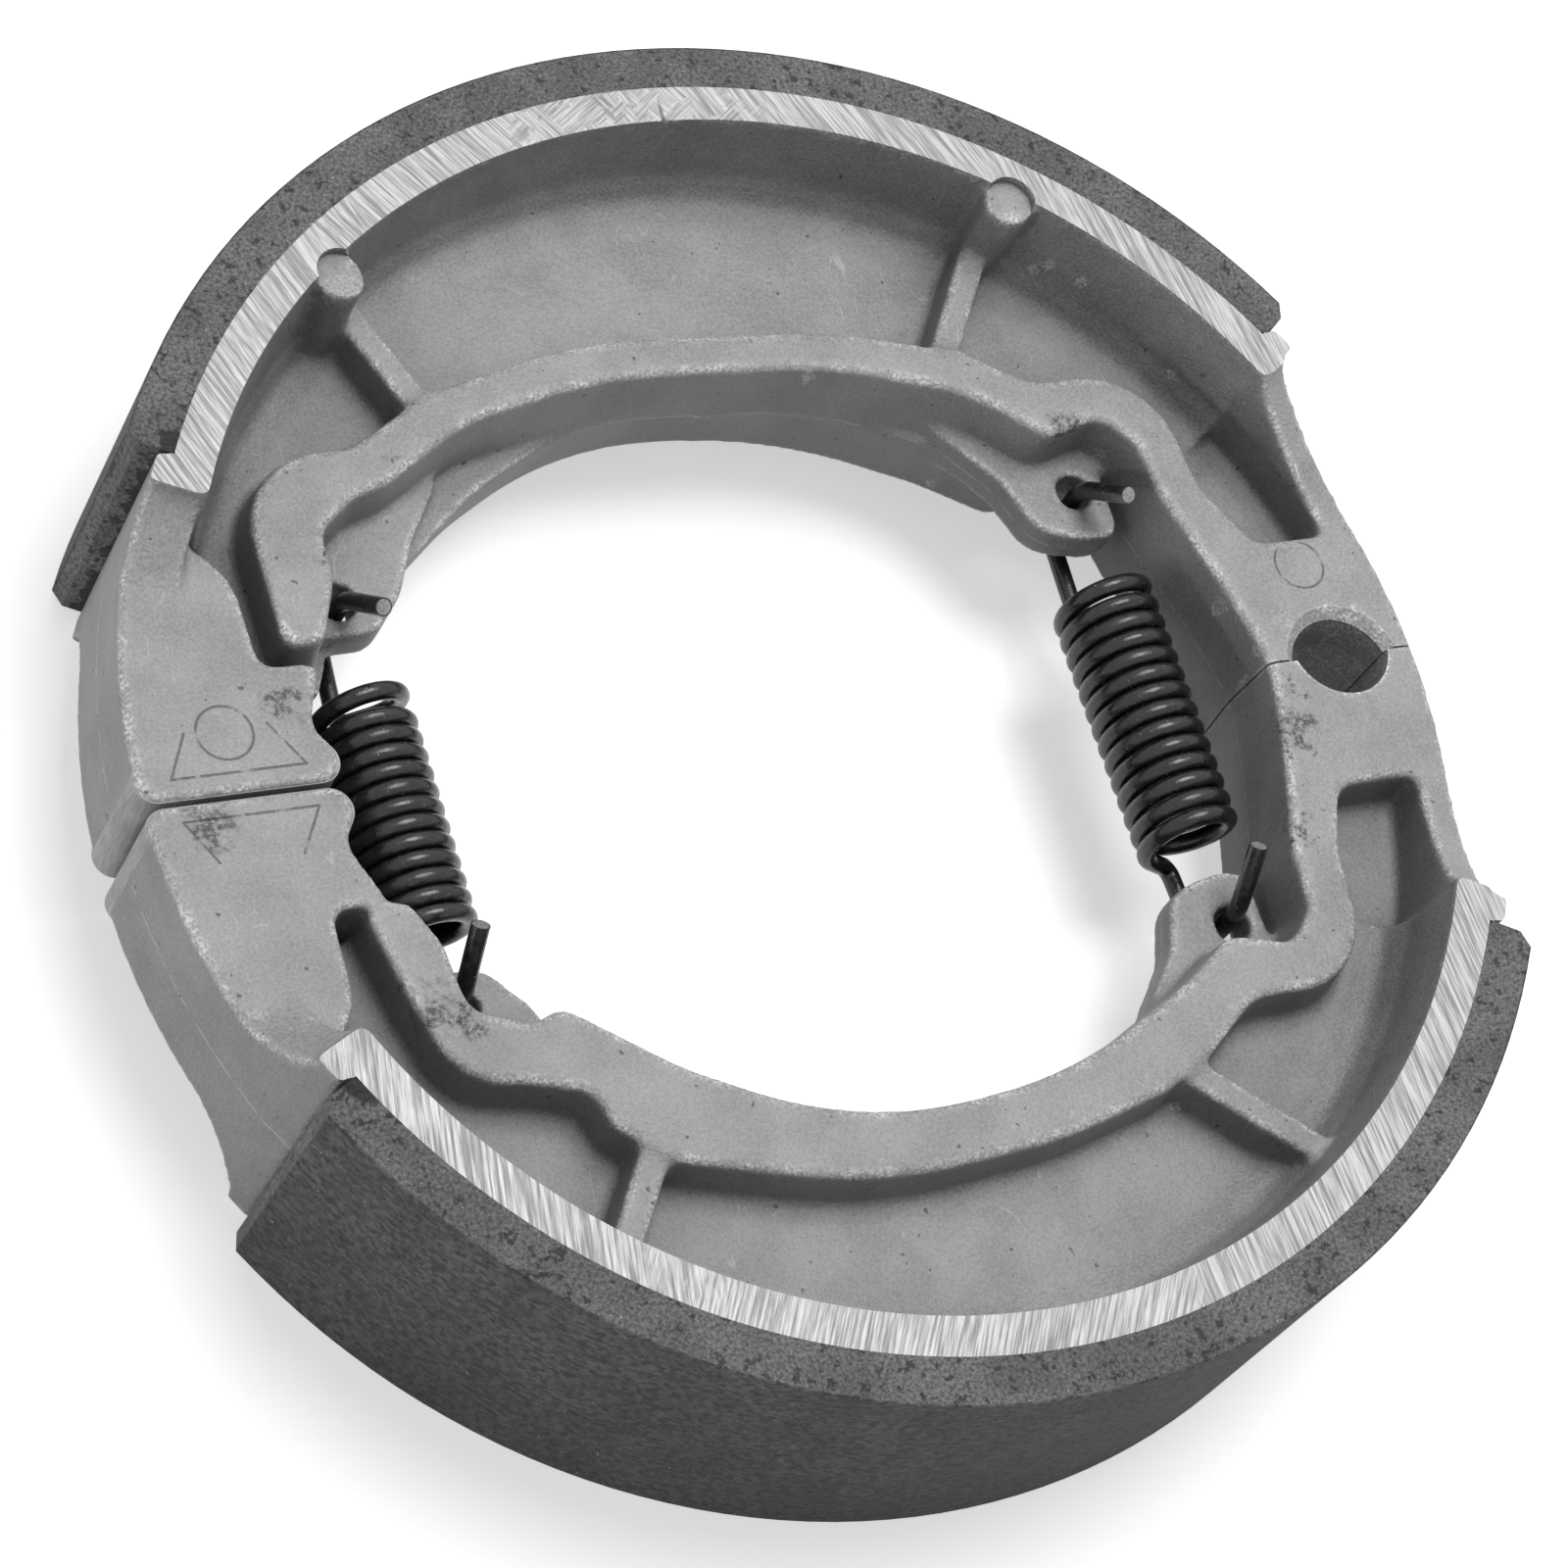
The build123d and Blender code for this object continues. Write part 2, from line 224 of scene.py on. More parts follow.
castingValues = {
    "shade": 0.36,
    "shadeSpread": 0.035,
    "speckle": 0.075,
    "wornEdgeAndHighlight": 0.36,          # how much lighter the rubbed edges are, wear and a painted highlight
    "rubbedAndHighlightFromTo": (0.504, 0.535),   # pointiness where the rubbing and the painted edge highlight start and are full
    # painted shade: how much darker the hollows and creases are, where the pointiness is low
    "paintedCreaseShade": 0.09,
    "grainMm": 0.27,
    "grainDepthMm": 0.11,
    "waveMm": 1.5,             # size and share of the unevenness under the grain
    "waveShare": 1.6,
    "mottleMm": 7.0,
    "roughness": 0.56,
    "roughnessSpread": 0.08,
    "metallic": 0.1,
    "flashMm": 0.12,           # half height of the bright parting line at mid height
    "flashShade": 0.28,
    "hairs": [(0.4, 5.0), (1.9, 6.5), (2.7, 4.2)],   # scratches: turn, and noise size in mm
    "hairWidth": 0.0035,
    "scratchShade": 0.13,
    "lineMm": 0.13,            # half width of the lines left by ejector pins and cam plate
    "lineDark": 0.55,
    "lineDepth": 1.5,          # in depths of the grain
    "paintedWallShade": 0.24,          # painted shade of the steep walls, which get less light than the tops
    "pocketMm": 12.0,
    "paintedPocketShade": 0.56,       # painted shade of the open surface, deep in a pocket, from ambient occlusion
    "pitMm": 0.9,
    "pitShade": 0.35,
    "sootFrayMm": 1.1,         # how ragged the smudges are
    "voxelMm": 0.40,
    "smoothSteps": 13,
    "sharpDegrees": 40,
    "splitMm": 0.1,            # half the gap between the anchor faces
    "stockMm": 1.4,            # left on the faces that are machined afterwards
    "triangles": 170000,
    "smudges": {               # dark marks of the mould: x, y and z, and reach, in mm
        "upper_shoe": [(33.4, 25.6, 7.5, 2.6), (-48.0, 7.8, 7.5, 2.0),
                       (-40.5, 21.4, 7.5, 1.3), (-32.0, 30.0, 5.5, 1.6)],
        "lower_shoe": [(-42.5, -21.2, 7.3, 2.6), (-40.4, -22.4, 7.3, 1.8),
                       (-57.4, -2.8, 7.5, 2.4), (-46.2, -19.4, 7.3, 1.5),
                       (46.3, -2.8, 7.3, 1.5), (45.6, -6.2, 7.3, 2.2),
                       (45.0, -8.6, 7.3, 1.6), (41.8, -16.3, 7.3, 1.6),
                       (39.2, -17.0, 6.0, 1.6)],
    },
    "pinMarks": [(-53.8, 5.6), (52.0, 9.5)],    # round marks of the ejector pins, upper shoe
    "pinMarkRadius": 2.45,
    "plateLine": [(-57.3, 5.9), (-59.4, 1.95), (-47.6, 1.95), (-50.0, 6.0)],
}


def distanceToLine(s, at, start, end):
    a, b = Vector((*start, 0)) * mm, Vector((*end, 0)) * mm
    run = b - a
    offset = s.vector("SUBTRACT", at, tuple(a))
    dot = s.tree.nodes.new("ShaderNodeVectorMath")
    dot.operation = "DOT_PRODUCT"
    s.join(offset, dot.inputs[0])
    s.join(tuple(run / run.length_squared), dot.inputs[1])
    share = s.math("ADD", dot.outputs["Value"], 0.0, clamp=True)
    scaled = s.tree.nodes.new("ShaderNodeVectorMath")
    scaled.operation = "SCALE"
    s.join(tuple(run), scaled.inputs[0])
    s.join(share, scaled.inputs["Scale"])
    return s.vector("DISTANCE", offset, scaled.outputs[0])


def pressedLines(s, side):
    v = castingValues
    x, y, z = s.parts()
    at = s.stack(x, y, 0.0)
    lines = []
    corners = [(cx, side * cy) for cx, cy in v["plateLine"]]
    for start, end in zip(corners, corners[1:]):
        lines.append(distanceToLine(s, at, start, end))
    if side > 0:
        for cx, cy in v["pinMarks"]:
            away = s.vector("DISTANCE", at, (cx * mm, cy * mm, 0.0))
            lines.append(s.math("ABSOLUTE", s.math("SUBTRACT", away, v["pinMarkRadius"] * mm)))
    nearest = lines[0]
    for line in lines[1:]:
        nearest = s.math("MINIMUM", nearest, line)
    half = v["lineMm"] * mm
    line = s.ramp(nearest, half * 0.35, half, 1.0, 0.0)
    broken = s.ramp(s.noise(1.6), 0.36, 0.5, 0.15, 1.0)
    onTop = s.ramp(s.math("ABSOLUTE", z), 0.0072, 0.0074)    # the blocks' faces, at 7.5 mm
    return s.math("MULTIPLY", s.math("MULTIPLY", line, broken), onTop)


def hairScratches(s):
    v = castingValues
    total = None
    for turn, size in v["hairs"]:
        node = s.tree.nodes.new("ShaderNodeMapping")
        node.inputs["Rotation"].default_value = (0, 0, turn)
        node.inputs["Scale"].default_value = (1.0, 0.22, 1.0)
        s.join(s.place, node.inputs["Vector"])
        lines = s.noise(size, node.outputs[0], detail=1.5)
        aside = s.math("ABSOLUTE", s.math("SUBTRACT", lines, 0.5))
        thin = s.ramp(aside, 0.0, v["hairWidth"], 1.0, 0.0)
        thin = s.math("MULTIPLY", thin, s.ramp(s.noise(2.5 + turn), 0.56, 0.66))
        total = thin if total is None else s.math("MAXIMUM", total, thin)
    return total


def castAluminium(name, marks, side):
    v = castingValues
    s = Shader(name)
    grain = s.noise(v["grainMm"], detail=4)
    mottle = s.noise(v["mottleMm"], detail=2)
    darkest, lightest = v["shade"] - v["shadeSpread"], v["shade"] + v["shadeSpread"]
    shade = s.ramp(mottle, 0.3, 0.7, darkest, lightest)
    shade = s.math("ADD", shade, s.ramp(grain, 0.30, 0.72, -v["speckle"], v["speckle"]))
    geometry = s.tree.nodes.new("ShaderNodeNewGeometry")
    point = geometry.outputs["Pointiness"]
    # lighter convex edges: rubbed wear and a painted highlight
    rubbedAndHighlit = s.ramp(point, *v["rubbedAndHighlightFromTo"], 0, v["wornEdgeAndHighlight"])
    rubbedAndHighlit = s.math("MULTIPLY", rubbedAndHighlit, s.ramp(s.noise(2.2), 0.35, 0.65, 0.25, 1.0))
    rubbedAndHighlit = s.math("MULTIPLY", rubbedAndHighlit, s.ramp(s.noise(0.28, detail=2), 0.42, 0.6, 0.1, 1.3))
    # painted shade in the hollows and creases, by low pointiness
    paintedCrease = s.ramp(point, 0.42, 0.49, v["paintedCreaseShade"], 0)
    shade = s.math("SUBTRACT", s.math("ADD", shade, rubbedAndHighlit), paintedCrease)
    facing = s.tree.nodes.new("ShaderNodeSeparateXYZ")
    s.join(geometry.outputs["Normal"], facing.inputs[0])
    level = s.math("ABSOLUTE", facing.outputs["Z"])
    steep = s.ramp(level, 0.2, 0.55, 1.0, 0.0)
    upright = s.ramp(level, 0.08, 0.22, 1.0, 0.0)
    height = s.math("ABSOLUTE", s.parts()["Z"])
    flash = s.ramp(height, v["flashMm"] * mm * 0.5, v["flashMm"] * mm, v["flashShade"], 0)
    flash = s.math("MULTIPLY", flash, s.ramp(s.noise(1.5), 0.38, 0.56))
    shade = s.math("ADD", shade, s.math("MULTIPLY", flash, upright))
    # painted shade: the steep walls darker than the tops, as less light falls on them
    wallShadePainted = s.math("MULTIPLY", steep, v["paintedWallShade"])
    shade = s.math("MULTIPLY", shade, s.math("SUBTRACT", 1.0, wallShadePainted))
    # painted shade in the pockets, from ambient occlusion
    occlusion = s.tree.nodes.new("ShaderNodeAmbientOcclusion")
    occlusion.samples = 6
    occlusion.only_local = True
    occlusion.inputs["Distance"].default_value = v["pocketMm"] * mm
    pocketShading = s.ramp(occlusion.outputs["AO"], 0.25, 0.95, v["paintedPocketShade"], 1.0)
    shade = s.math("MULTIPLY", shade, pocketShading)
    soot = s.noise(0.5, detail=5, roughness=0.75)
    ragged = v["sootFrayMm"] * mm
    fray = s.ramp(s.noise(1.3, detail=3), 0.3, 0.7, -ragged, ragged)
    for cx, cy, cz, reach in marks:
        away = s.vector("DISTANCE", s.place, (cx * mm, cy * mm, cz * mm))
        near = s.ramp(s.math("ADD", away, fray), reach * mm * 0.2, reach * mm, 0.8, 0.0)
        stain = s.math("MULTIPLY", near, s.ramp(soot, 0.40, 0.56))
        shade = s.math("MULTIPLY", shade, s.math("SUBTRACT", 1.0, stain))
    scratch = s.math("MULTIPLY", hairScratches(s), s.math("SUBTRACT", 1.0, steep))
    shade = s.math("ADD", shade, s.math("MULTIPLY", scratch, v["scratchShade"]))
    line = pressedLines(s, side)
    lineDark = s.math("MULTIPLY", line, v["lineDark"])
    shade = s.math("MULTIPLY", shade, s.math("SUBTRACT", 1.0, lineDark))
    pits = s.ramp(s.noise(v["pitMm"], detail=1), 0.74, 0.79, 1.0, v["pitShade"])
    shade = s.math("MULTIPLY", shade, pits)
    wave = s.math("MULTIPLY", s.noise(v["waveMm"], detail=2), v["waveShare"])
    sunk = s.math("MULTIPLY", line, v["lineDepth"])
    s.bump(s.math("SUBTRACT", s.math("ADD", grain, wave), sunk), v["grainDepthMm"], 0.8)
    rough = s.ramp(grain, 0.3, 0.7, v["roughness"] - v["roughnessSpread"],
                   v["roughness"] + v["roughnessSpread"])
    return s.finish(shade, rough, v["metallic"])


# Ground rims of the two shoes

bandValues = {
    "shade": 0.48,
    "spread": 0.2,
    "scratchMm": 0.24,         # width of one grinding scratch
    "scratchLong": 26.0,       # its length in widths
    "depthMm": 0.05,
    "roughness": 0.52,
    "metallic": 0.2,
    "slants": {                # x in mm and the scratches' direction there in degrees
        "upper_shoe": [(-50, 111), (-18, 124), (18, 112), (48, 99)],
        "lower_shoe": [(-50, 81), (-12, 60), (40, 94)],
    },
    "wanderMm": 6.0,           # how unevenly one direction gives way to the next
    "crossing": (-3, 15, 35),  # x and reach in mm, and slant, of the second pass of the disc
}


def scratchLayer(s, slant):
    v = bandValues
    x, y = s.parts()[:2]
    c, d = math.cos(math.radians(slant)), math.sin(math.radians(slant))
    across = s.math("SUBTRACT", s.math("MULTIPLY", y, c), s.math("MULTIPLY", x, d))
    along = s.math("ADD", s.math("MULTIPLY", x, c), s.math("MULTIPLY", y, d))
    where = s.stack(across, s.math("DIVIDE", along, v["scratchLong"]), slant * mm)
    return s.noise(v["scratchMm"], where, detail=3, roughness=0.7)


def groundBand(name, node):
    v = bandValues
    s = Shader(name)
    x = s.parts()["X"]
    uneven = v["wanderMm"] * mm
    wander = s.math("ADD", x, s.ramp(s.noise(5.0), 0.3, 0.7, -uneven, uneven))
    slants = v["slants"][node]
    hatch = scratchLayer(s, slants[0][1])
    for (start, _), (end, slant) in zip(slants, slants[1:]):
        low, high = start * 0.6 + end * 0.4, start * 0.4 + end * 0.6
        hatch = s.blend(s.ramp(wander, low * mm, high * mm), hatch, scratchLayer(s, slant))
    if node == "upper_shoe":
        middle, reach, slant = v["crossing"]
        away = s.math("ABSOLUTE", s.math("SUBTRACT", x, middle * mm))
        near = s.ramp(away, reach * mm * 0.6, reach * mm, 1.0, 0.0)
        patch = s.math("MULTIPLY", near, s.ramp(s.noise(2.2), 0.47, 0.53))
        hatch = s.blend(patch, hatch, scratchLayer(s, slant))
    shade = s.ramp(hatch, 0.34, 0.66, v["shade"] - v["spread"], v["shade"] + v["spread"])
    s.bump(hatch, v["depthMm"])
    rough = s.ramp(hatch, 0.3, 0.7, v["roughness"] + 0.1, v["roughness"] - 0.06)
    return s.finish(shade, rough, v["metallic"])


# Pin seat, ejector marks and machined faces

boreValues = {
    "seatAt": (52.9, -1.0),    # middle of the pin seat, with the upper shoe's side as +Y
    "seatRadius": 5.0,
    "seatChamfer": 0.9,
    "halfBlock": 7.5,          # from mid height to the anchor block's faces
    "columnsAt": [(-34.3, 44.4), (32.2, 46.6)],
    "columnRadius": 2.3,
    "markHeight": 13.15,       # where the ejector pins stop in the columns
    "clear": 9.0,              # the cutter reaches this far from mid height
    "sides": 72,
}


def turnedShell(work, centre, profile):
    sides = boreValues["sides"]
    rings = []
    for radius, height in profile:
        ring = []
        for i in range(sides):
            turn = 2 * math.pi * i / sides
            corner = Vector((centre[0] + radius * math.cos(turn),
                             centre[1] + radius * math.sin(turn), height))
            ring.append(work.verts.new(corner * mm))
        rings.append(ring)
    for lower, upper in zip(rings, rings[1:]):
        for i in range(sides):
            j = (i + 1) % sides
            work.faces.new((lower[i], lower[j], upper[j], upper[i]))
    work.faces.new(rings[0])
    work.faces.new(rings[-1])


def boreShoe(rough, side):
    v = boreValues
    work = bmesh.new()
    x, y = v["seatAt"]
    radius, foot = v["seatRadius"], v["halfBlock"] - v["seatChamfer"]
    turnedShell(work, (x, side * y), [(radius, -side * v["clear"]), (radius, side * foot),
                                      (radius + v["clear"] - foot, side * v["clear"])])
    for x, y in v["columnsAt"]:
        turnedShell(work, (x, side * y), [(v["columnRadius"], side * v["markHeight"]),
                                          (v["columnRadius"], side * 2 * v["clear"])])
    bmesh.ops.recalc_face_normals(work, faces=work.faces)
    mesh = bpy.data.meshes.new("cutter")
    work.to_mesh(mesh)
    work.free()
    cutter = addObject("cutter", mesh)
    bore = rough.modifiers.new("bore", "BOOLEAN")
    bore.operation = "DIFFERENCE"
    bore.solver = "EXACT"
    bore.object = cutter
    solid = asPlainMesh(rough)
    bpy.data.objects.remove(cutter)
    return solid


def machineFace(work, at, normal, slot):
    geometry = list(work.verts) + list(work.edges) + list(work.faces)
    cut = bmesh.ops.bisect_plane(work, geom=geometry, plane_co=at, plane_no=normal,
                                 clear_outer=True)["geom_cut"]
    rim = [e for e in cut if isinstance(e, bmesh.types.BMEdge)]
    made = bmesh.ops.triangle_fill(work, use_beauty=True, edges=rim, normal=normal)["geom"]
    for face in made:
        if isinstance(face, bmesh.types.BMFace):
            face.material_index = slot
            if face.normal.dot(normal) < 0:
                face.normal_flip()


def countTriangles(mesh):
    return sum(len(p.vertices) - 2 for p in mesh.polygons)


def roughCasting(node, side):           # the CAD shape with stock left on its machined faces
    stock = castingValues["stockMm"] * mm
    split = castingValues["splitMm"] * mm
    seatX, seatY = boreValues["seatAt"]
    seatRadius = boreValues["seatRadius"] * mm
    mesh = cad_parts[node].data.copy()
    mesh.materials.clear()
    work = bmesh.new()
    work.from_mesh(mesh)
    work.from_mesh(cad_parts[node.replace("shoe", "cam_plate")].data)
    bmesh.ops.remove_doubles(work, verts=work.verts, dist=1e-7)
    for face in work.faces:
        face.material_index = 0
    middle = Vector((seatX, side * seatY)) * mm
    for vert in work.verts:
        onSplit = vert.co.x > 40 * mm and abs(abs(vert.co.y) - split) < 0.01 * mm
        reach = vert.co.xy - middle
        if seatRadius - 0.1 * mm < reach.length < seatRadius + mm:
            reach *= (seatRadius - stock) / reach.length
            vert.co.xy = middle + reach
        if abs(vert.co.z) > cadHigh.z - 0.01 * mm:
            vert.co.z += math.copysign(stock, vert.co.z)
        if onSplit:
            vert.co.y -= side * stock
    work.to_mesh(mesh)
    work.free()
    return addObject(node + "_rough", mesh)


def softenEdges(rough):
    v = castingValues
    remesh = rough.modifiers.new("remesh", "REMESH")
    remesh.mode = "VOXEL"
    remesh.voxel_size = v["voxelMm"] * mm * 1
    smooth = rough.modifiers.new("smooth", "SMOOTH")
    smooth.factor = 0.5
    smooth.iterations = v["smoothSteps"]
    rough.data = asPlainMesh(rough)
    count = countTriangles(rough.data)
    if count > v["triangles"]:
        thin = rough.modifiers.new("thin", "DECIMATE")
        thin.ratio = v["triangles"] / count
        rough.data = asPlainMesh(rough)


def finishCasting(node, body):
    v = castingValues
    side = 1 if node.startswith("upper") else -1
    rough = roughCasting(node, side)
    softenEdges(rough)
    solid = boreShoe(rough, side)
    bpy.data.objects.remove(rough)
    work = bmesh.new()
    work.from_mesh(solid)
    for up in (1, -1):
        machineFace(work, Vector((0, 0, up * cadHigh.z)), Vector((0, 0, up)), 1)
    machineFace(work, Vector((0, side * v["splitMm"] * mm, 0)), Vector((0, -side, 0)), 0)
    for face in work.faces:
        face.smooth = True
    work.to_mesh(solid)
    work.free()
    solid.set_sharp_from_angle(angle=math.radians(v["sharpDegrees"]))
    shoe = addObject(node + "_casting", solid, [
        castAluminium(node + "CastAluminium", v["smudges"][node], side),
        groundBand(node + "GroundBand", node)])
    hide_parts(node)
    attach(shoe, body)
    print(node, "finished,", countTriangles(solid), "triangles")


finishCasting("upper_shoe", "upper")
finishCasting("lower_shoe", "lower")


# Friction linings

liningValues = {
    "sideShade": 0.15,
    "faceShade": 0.075,
    "lowShade": 0.72,          # of the face's own shade, at its lower edge: darker towards the bottom
    "highShade": 1.06,
    "speckleMm": 0.35,
    "streakMm": 0.55,
    "streakLong": 1.5,
    "chipMm": 0.45,            # pale chips in the compound
    "chipShade": 0.35,
    "pitMm": 0.9,              # and dark pits
    "pitShade": 0.3,
    "darkEndFrom": 2.62,          # the cam end is darker from this angle in radians
    "darkEndTo": 62.6,            # and out to this radius in mm
    "darkEndShade": 0.8,
    "depthMm": 0.13,
    "roughness": 0.85,
}


def frictionLining():
    v = liningValues
    s = Shader("frictionLining")
    radius, angle, z = s.polar()
    outer = (cadHigh.y - cadLow.y) / 2
    onFace = s.ramp(radius, outer - 0.22 * mm, outer - 0.1 * mm)
    along = s.math("MULTIPLY", angle, outer / v["streakLong"])
    streak = s.noise(v["streakMm"], s.stack(along, radius, z), detail=5, roughness=0.7)
    grit = s.noise(v["speckleMm"], detail=4, roughness=0.75)
    chips = s.noise(v["chipMm"], detail=2)
    pits = s.noise(v["pitMm"], detail=4)
    sideShade = s.ramp(grit, 0.32, 0.68, v["sideShade"] - 0.09, v["sideShade"] + 0.11)
    faceShade = s.ramp(streak, 0.35, 0.65, v["faceShade"] - 0.05, v["faceShade"] + 0.06)
    # the face grows darker towards the bottom
    towardsBottom = s.ramp(z, cadLow.z, 12 * mm, v["lowShade"], v["highShade"])
    faceShade = s.math("MULTIPLY", faceShade, towardsBottom)
    shade = s.blend(onFace, sideShade, faceShade)
    shade = s.math("MULTIPLY", shade, s.ramp(s.noise(6.0), 0.35, 0.65, 0.82, 1.15))
    shade = s.math("ADD", shade, s.ramp(chips, 0.69, 0.75, 0, v["chipShade"]))
    shade = s.math("MULTIPLY", shade, s.ramp(pits, 0.57, 0.65, 1.0, v["pitShade"]))
    # the cam end darker, from an angle and inside a radius
    fromEnd = s.math("ADD", s.math("ABSOLUTE", angle),
                     s.ramp(s.noise(2.5, detail=4), 0.3, 0.7, -0.012, 0.012))
    atDarkEnd = s.ramp(fromEnd, v["darkEndFrom"] - 0.004, v["darkEndFrom"] + 0.004)
    edge = s.math("ADD", radius, s.ramp(s.noise(1.8, detail=4), 0.3, 0.7, -0.8 * mm, 0.8 * mm))
    inner = s.ramp(edge, (v["darkEndTo"] - 0.2) * mm, (v["darkEndTo"] + 0.2) * mm, v["darkEndShade"], 0.0)
    shade = s.math("MULTIPLY", shade, s.math("SUBTRACT", 1.0, s.math("MULTIPLY", atDarkEnd, inner)))
    s.bump(s.blend(onFace, grit, streak), v["depthMm"])
    return s.finish(shade, v["roughness"])


lining = frictionLining()
for node in ("upper_lining", "lower_lining"):
    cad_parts[node].data.materials.clear()
    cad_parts[node].data.materials.append(lining)
print("linings finished")


# Folded steel plates in the cam faces

plateValues = {
    "shade": 0.33,
    "roughness": 0.6,
    "metallic": 0.35,
    "brushMm": 0.12,
    "brushLong": 20.0,         # length of a brush mark in widths
    "brushDepthMm": 0.01,
    "length": 13.9,            # in mm, what shows between the casting's rounded rims
}


def pressedSteel():
    v = plateValues
    s = Shader("pressedSteel")
    x, y, z = s.parts()
    where = s.stack(x, y, s.math("DIVIDE", z, v["brushLong"]))
    brush = s.noise(v["brushMm"], where, detail=3)
    shade = s.ramp(brush, 0.3, 0.7, v["shade"] - 0.06, v["shade"] + 0.06)
    shade = s.math("ADD", shade, s.ramp(s.noise(5.0), 0.35, 0.65, -0.05, 0.05))
    s.bump(brush, v["brushDepthMm"])
    return s.finish(shade, v["roughness"], v["metallic"])


def makePlate(node, body, material):
    v = plateValues
    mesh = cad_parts[node].data.copy()
    mesh.materials.clear()
    low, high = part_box(node)
    shrink = v["length"] * mm / (high.z - low.z)
    work = bmesh.new()
    work.from_mesh(mesh)
    bmesh.ops.remove_doubles(work, verts=work.verts, dist=1e-7)
    for vert in work.verts:
        vert.co.z *= shrink
    for face in work.faces:
        face.material_index = 0
        face.smooth = False
    work.to_mesh(mesh)
    work.free()
    plate = addObject(node + "_steel", mesh, [material])
    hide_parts(node)
    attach(plate, body)


steel = pressedSteel()
makePlate("upper_cam_plate", "upper", steel)
makePlate("lower_cam_plate", "lower", steel)


# Return springs: a close-wound coil, and a hook at each end that comes up through its lug

springValues = {               # sizes in mm
    "coilRadius": 4.05,
    "leadDegrees": 30,         # the wire leaves the coil this far from its lowest point
    "leadBend": 1.2,
    "hookBend": 2.0,
    "holePull": 0.55,          # the wire pulls this far off the middle of its lug's hole
    "crest": 3.2,              # height where the hook starts to lean over
    "rise": 8.6,               # height of its tip
    "lean": 3.8,               # how far the tip leans, towards the coil and sideways
    "sideLean": 1.0,
    "openTurns": 0.9,          # the first turn opens over this much of its way
    "pointsPerTurn": 44,
    "bendDegrees": 12,         # between two points of a bend
    "wireSides": 18,
    "tipBevel": 0.12,
    "shade": (0.006, 0.016),   # the paint's darkest and lightest
    "speckShade": 0.25,        # of the bare specks
    "roughness": (0.2, 0.36),
    "coat": 0.15,
    "coatRoughness": 0.15,
    "bumpMm": 0.05,
    "cutShade": (0.2, 0.38),   # of the wire's cut ends
    "cutRoughness": 0.5,
    "cutMetallic": 0.7,
    "places": {                # the upper end's first turn stands open by the gap
        "cam_side_spring": {"x": -38.9, "lugX": -38.4, "lugY": 19.2, "turns": 13,
                            "wire": 1.65, "pitch": 1.67, "top": 10.5, "gap": 1.2},
        "anchor_side_spring": {"x": 35.2, "lugX": 35.4, "lugY": 22.2, "turns": 14,
                               "wire": 1.7, "pitch": 1.81, "top": 12.2, "gap": 0.35},
    },
}


def roundedRun(points, radii):
    path = [points[0]]
    for before, corner, after, radius in zip(points, points[1:], points[2:], radii):
        toward, away = (before - corner).normalized(), (after - corner).normalized()
        half = toward.angle(away) / 2
        centre = corner + (toward + away).normalized() * (radius / math.sin(half))
        start = corner + toward * (radius / math.tan(half)) - centre
        end = corner + away * (radius / math.tan(half)) - centre
        steps = max(2, round(math.degrees(start.angle(end)) / springValues["bendDegrees"]))
        for i in range(steps + 1):
            path.append(centre + start.slerp(end, i / steps).normalized() * radius)
    return path + [points[-1]]


def springPath(place):
    v = springValues
    lead = math.radians(v["leadDegrees"])
    wound = place["turns"] - 2 * v["leadDegrees"] / 360
    count = round(wound * v["pointsPerTurn"])
    coil = []
    for i in range(count + 1):
        angle = 2 * math.pi * wound * i / count + math.pi / 2 + lead
        left = wound * (1 - i / count)             # turns from the upper end
        opened = min(left / v["openTurns"], 1)
        drop = left * place["pitch"] + place["gap"] * opened * opened * (3 - 2 * opened)
        coil.append(Vector((place["x"] + v["coilRadius"] * math.cos(angle),
                            place["top"] - drop, -v["coilRadius"] * math.sin(angle))))
    depth = v["coilRadius"] / math.cos(lead)
    lugX = place["lugX"]
    hooks = []
    for side, start, inner in ((-1, coil[0], coil[1]), (1, coil[-1], coil[-2])):
        leave = start - inner
        eye = side * (place["lugY"] - v["holePull"])
        corners = [start, start + leave * ((place["x"] - start.x) / leave.x),
                   Vector((lugX, eye, -depth)), Vector((lugX, eye, v["crest"])),
                   Vector((lugX + v["sideLean"], eye - side * v["lean"], v["rise"]))]
        hooks.append(roundedRun(corners, (v["leadBend"], v["hookBend"], 2 * v["hookBend"])))
    lower, upper = hooks
    return lower[:0:-1] + coil + upper[1:]


